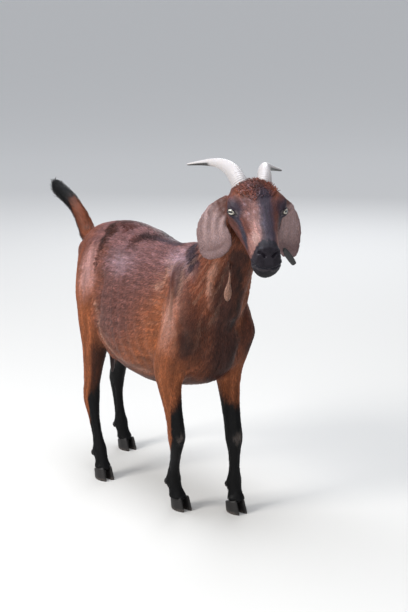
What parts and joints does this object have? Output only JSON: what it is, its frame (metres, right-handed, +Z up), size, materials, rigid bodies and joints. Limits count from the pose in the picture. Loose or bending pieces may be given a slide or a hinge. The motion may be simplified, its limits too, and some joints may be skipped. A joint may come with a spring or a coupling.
{
  "type": "standing goat model",
  "caption": "Life-size still model of a standing horned doe goat with long drooping ears, a raised tail and a short brown coat, head turned to its right",
  "frame": {"origin": "on the floor, under the middle of the bounding box of the whole goat", "axes": "+X to the goat's front, +Y to its left, +Z up"},
  "size_m": [1.1114, 0.2944, 0.8791],
  "materials": {
    "coat": "short glossy red-brown hair over skin, darker on the lower legs, face and spine",
    "dark_coat": "short near-black hair over skin",
    "ear": "very short greyish mauve-brown hair, thin and soft edged",
    "horn": "pale horn with fine rings at the base and dark tips",
    "hoof": "dark horn, dull",
    "eye": "wet, pale yellow-white iris with a level dark pupil",
    "tag": "plain black strip, no writing"
  },
  "bodies": {
    "root": {"claw_foreleg_left_inner": "hoof", "claw_foreleg_left_outer": "hoof", "claw_foreleg_right_inner": "hoof", "claw_foreleg_right_outer": "hoof", "claw_hindleg_left_inner": "hoof", "claw_hindleg_left_outer": "hoof", "claw_hindleg_right_inner": "hoof", "claw_hindleg_right_outer": "hoof", "dewclaw_foreleg_left_inner": "hoof", "dewclaw_foreleg_left_outer": "hoof", "dewclaw_foreleg_right_inner": "hoof", "dewclaw_foreleg_right_outer": "hoof", "dewclaw_hindleg_left_inner": "hoof", "dewclaw_hindleg_left_outer": "hoof", "dewclaw_hindleg_right_inner": "hoof", "dewclaw_hindleg_right_outer": "hoof", "ear_left": "ear", "ear_right": "ear", "ear_tag": "tag", "eye_left": "eye", "eye_right": "eye", "foreleg_left": "coat", "foreleg_right": "coat", "head": "coat", "hindleg_left": "coat", "hindleg_right": "coat", "horn_left": "horn", "horn_right": "horn", "neck": "coat", "tail": "dark_coat", "trunk": "coat", "udder": "dark_coat", "wattle_right": "coat"}
  },
  "joints": []
}
